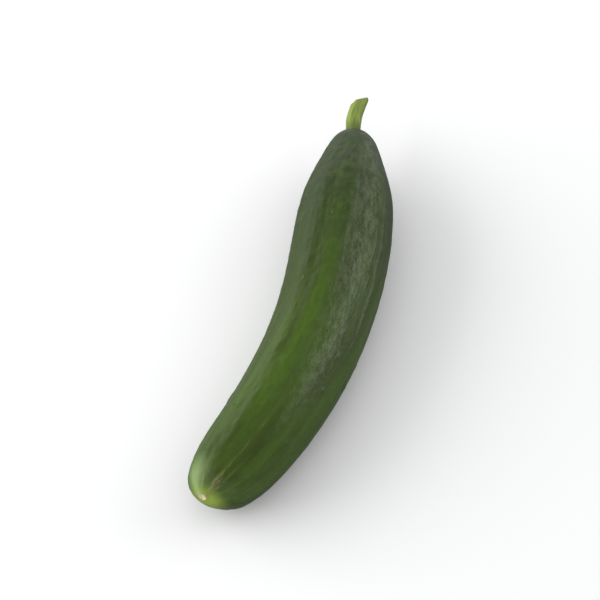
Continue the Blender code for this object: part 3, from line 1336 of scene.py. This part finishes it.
@dataclass(frozen=True)
class Stalk:
    """The stub of the stalk: ribbed, bent, flared and cut at a slant.

    The shape of its cut is given from the edge to the middle, each point by its share of the stalk's
    radius and its share of the dish's depth. The cut's material starts within a share of that radius,
    and no more than a few times the dish's depth from the end.
    """

    length: float = 18.2 * MM
    radii: tuple[float, ...] = tuple(radius * MM for radius in (2.60, 2.75, 2.90, 2.90, 2.85, 2.85))
    headings: tuple[float, ...] = tuple(math.radians(turn) for turn in (16.0, 17.0, 5.0, 0.0))
    rise: float = 1.5 * MM
    ribs: int = 5
    rib_depth: float = 0.07
    fine_rib_share: float = 0.25
    fine_rib_turn: float = 1.0
    ribs_from: float = 2.0 * MM
    fibre_size: tuple[float, float, float] = (4.0 * MM, 0.7 * MM, 0.7 * MM)
    fibre_height: float = 0.05 * MM
    aside: float = 0.3 * MM
    slant_aside: float = math.tan(math.radians(40))
    slant_up: float = math.tan(math.radians(18))
    slant_from: float = 0.45
    gap: float = 0.3 * MM
    collar_height: float = 0.5 * MM
    collar_place: float = 0.3 * MM
    collar_width: float = 0.8 * MM
    core: float = 1.5 * MM
    cut_lip: tuple[float, float] = (0.95, 0.04 * MM)
    cut_shape: tuple[tuple[float, float], ...] = ((0.86, 0.0), (0.6, 0.5), (0.3, 0.85), (0.0, 1.0))
    cut_dish: float = 0.35 * MM
    cut_dishes: float = 1.5
    cut_within: float = 0.97
    sides: int = 120
    rings: int = 90

    def profile(self, radii: np.ndarray) -> list[tuple[float, float]]:
        """Lay out the turned profile, with the dished cut at its end.

        Args:
            radii: The stalk's radii at equal steps along it.

        Returns:
            Stations and radii, from axis to axis.
        """
        stations = np.linspace(0, 1, self.rings) * self.length
        lip_share, lip = self.cut_lip
        cap = [(self.length + lip, lip_share * radii[-1])]
        for share, depth in self.cut_shape:
            cap.append((self.length - depth * self.cut_dish, share * radii[-1]))
        return [(0.0, 0.0), *zip(stations.tolist(), radii.tolist()), *cap]

    def build(self, fruit: Fruit, rind: bpy.types.Material, cut: bpy.types.Material) -> bpy.types.Object:
        """Turn, rib, bend and cut the stalk.

        Args:
            fruit: The fruit that it is rooted in.
            rind: The material of its sides.
            cut: The material of its cut end.

        Returns:
            The finished stalk, in place of its plain solid.
        """
        radii = smooth_through(self.radii, np.linspace(0, 1, self.rings))
        form = TurnedForm("cucumber_stalk", self.profile(radii), self.sides)
        station, angle, radius = form.coordinates()
        out = fruit.socket_depth - self.gap
        on_cut = station > self.length - self.cut_dishes * self.cut_dish
        on_cut &= radius < self.cut_within * radii[-1]
        free = ease(out, out + self.ribs_from, station)
        collar = self.collar_height * bell(station - out - self.collar_place, self.collar_width)
        fine_ribs = self.fine_rib_share * np.cos(2 * self.ribs * angle + self.fine_rib_turn)
        ridges = self.rib_depth * (np.cos(self.ribs * angle) + fine_ribs)
        place = unbent(station, angle, radius)
        fibres = self.fibre_height * noise_at(place, self.fibre_size, Layer.FIBRES)
        outside = (radius > self.core) & ~on_cut
        grown = radius * (1 + ridges * free) + (collar + fibres * free) * outside
        slant = self.slant_aside * np.cos(angle) + self.slant_up * np.sin(angle)
        slant *= -radius * ease(self.slant_from * self.length, self.length, station)
        root = fruit.rim - fruit.socket_depth + self.gap
        start = fruit.line.at(np.array([root]))[0][0] + (0.0, self.aside, 0.0)
        line = MiddleLine(tuple(start), self.length, self.headings, self.rise)
        form.move_to(line.lay(station + slant, angle, grown))
        form.note(GROWN_PLACE, place)
        self._number_faces(form, on_cut)
        piece = form.finish([rind, cut])
        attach(piece, "root")
        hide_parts("stem")
        return piece

    def _number_faces(self, form: TurnedForm, on_cut: np.ndarray) -> None:
        """Give the faces of the cut end the second material.

        Args:
            form: The stalk's form.
            on_cut: For each point, whether it lies on the cut.
        """
        for face in form.mesh.polygons:
            face.material_index = int(all(on_cut[number] for number in face.vertices))


@dataclass(frozen=True)
class SoftBox:
    """A large soft lamp, placed by its direction and distance, which the skin may mirror or not."""

    name: str
    azimuth: float
    elevation: float
    distance: float
    size: tuple[float, float]
    watts: float
    mirrored: bool = True

    def build(self, target: Vector, view_azimuth: float) -> bpy.types.Object:
        """Hang the lamp.

        Args:
            target: The point it faces.
            view_azimuth: The camera's azimuth, from which the lamp's own is counted.

        Returns:
            The lamp.
        """
        lamp = bpy.data.lights.new(self.name, "AREA")
        lamp.shape = "RECTANGLE"
        lamp.size, lamp.size_y = self.size
        lamp.energy = self.watts
        box = bpy.data.objects.new(self.name, lamp)
        way = direction(view_azimuth + self.azimuth, self.elevation)
        box.location = target + way * self.distance
        box.rotation_euler = (-way).to_track_quat("-Z", "Y").to_euler()
        box.visible_camera = False
        box.visible_glossy = self.mirrored
        bpy.context.scene.collection.objects.link(box)
        return box


def direction(azimuth: float, elevation: float) -> Vector:
    """Point from the cucumber towards a place around it.

    Args:
        azimuth: In degrees; 0 is towards -Y and 90 towards +X.
        elevation: In degrees above the floor.

    Returns:
        The direction, one metre long.
    """
    turn = math.radians(azimuth)
    tilt = math.radians(elevation)
    return Vector((math.sin(turn) * math.cos(tilt), -math.cos(turn) * math.cos(tilt), math.sin(tilt)))


@dataclass(frozen=True)
class Studio:
    """The pale floor, the soft boxes, the sky's fill and the camera."""

    floor_size: float = 3.2
    floor_drop: float = 0.02 * MM
    aim: tuple[float, float, float] = (-5.25 * MM, 6.66 * MM, 17.0 * MM)
    view_azimuth: float = -70.89
    view_elevation: float = 55.0
    view_distance: float = 0.6193
    field_of_view: float = math.radians(20.0)
    sensor_width: float = 36.0
    nearest_seen: float = 0.01
    bright_sky: Colour = (1.0, 1.0, 1.0, 1)
    dim_sky: Colour = (0.20, 0.20, 0.21, 1)
    bright_azimuth: float = -110.0
    bright_elevation: float = 50.0
    sky_passes: tuple[float, float] = (-0.7, 0.8)
    seen_sky: Colour = (1.0, 1.0, 1.0, 1)
    mirrored_sky: Colour = (0.12, 0.12, 0.12, 1)
    overhead: tuple[float, float] = (0.30, 0.65)
    boxes: tuple[SoftBox, ...] = (
        SoftBox("left_box", -95.0, 25.0, 1.2, (1.4, 0.9), 14.0, mirrored=False),
        SoftBox("right_box", 108.0, 31.0, 1.2, (1.0, 0.6), 4.2),
    )

    def build(self, floor_finish: FloorFinish) -> None:
        """Set the studio up.

        Args:
            floor_finish: The floor's finish.
        """
        self._lay_floor(floor_finish.make())
        for box in self.boxes:
            box.build(Vector(self.aim), self.view_azimuth)
        self._light_sky()
        self._place_camera()
        bpy.context.scene.view_settings.view_transform = "Standard"
        bpy.context.scene.view_settings.look = "None"

    def _lay_floor(self, finish: bpy.types.Material) -> None:
        """Lay the floor just under the fruit.

        Args:
            finish: The floor's material.
        """
        shape = bmesh.new()
        bmesh.ops.create_grid(shape, x_segments=1, y_segments=1, size=self.floor_size / 2)
        bmesh.ops.translate(shape, verts=shape.verts, vec=(0, 0, -self.floor_drop))
        mesh = bpy.data.meshes.new("pale_floor")
        shape.to_mesh(mesh)
        shape.free()
        mesh.materials.append(finish)
        floor = bpy.data.objects.new("pale_floor", mesh)
        bpy.context.scene.collection.objects.link(floor)

    def _light_sky(self) -> None:
        """Light the scene from a sky that is bright on the left, dark overhead in what the skin mirrors."""
        world = bpy.data.worlds.new("studio_sky")
        world.use_nodes = True
        board = Board(world.node_tree)
        background = world.node_tree.nodes["Background"]
        way = board.add("TexCoord").outputs["Generated"]
        facing = board.add("VectorMath", operation="DOT_PRODUCT")
        board.feed(facing.inputs[0], way)
        bright = direction(self.view_azimuth + self.bright_azimuth, self.bright_elevation)
        board.feed(facing.inputs[1], bright)
        share = board.between(facing.outputs["Value"], *self.sky_passes)
        sky = board.blend(share, self.dim_sky, self.bright_sky)
        path = board.add("LightPath")
        overhead = board.between(board.split(way)[2], *self.overhead)
        mirrored = board.sums("MULTIPLY", path.outputs["Is Glossy Ray"], overhead)
        sky = board.blend(mirrored, sky, self.mirrored_sky)
        board.feed(background.inputs["Color"], board.blend(path.outputs["Is Camera Ray"], sky, self.seen_sky))
        bpy.context.scene.world = world

    def _place_camera(self) -> None:
        """Put the camera where the photograph was taken from."""
        lens = bpy.data.cameras.new("camera")
        lens.sensor_width = self.sensor_width
        lens.angle = self.field_of_view
        lens.clip_start = self.nearest_seen
        camera = bpy.data.objects.new("camera", lens)
        way = direction(self.view_azimuth, self.view_elevation)
        camera.location = Vector(self.aim) + way * self.view_distance
        camera.rotation_euler = (-way).to_track_quat("-Z", "Y").to_euler()
        bpy.context.scene.collection.objects.link(camera)
        bpy.context.scene.camera = camera


def main() -> None:
    """Load the frame, then grow the fruit and its stalk and light them."""
    logging.basicConfig(level=logging.INFO, format="%(name)s: %(message)s")
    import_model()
    grain = pebble_group()
    fruit = Fruit()
    pieces = [fruit.build(SkinFinish().make(grain))]
    rind = StalkFinish().make(grain, fruit.socket_depth)
    pieces.append(Stalk().build(fruit, rind, CutFinish().make(grain)))
    for piece in pieces:
        LOG.info("%s: %d faces", piece.name, len(piece.data.polygons))
    Studio().build(FloorFinish())


if __name__ == "__main__":
    main()
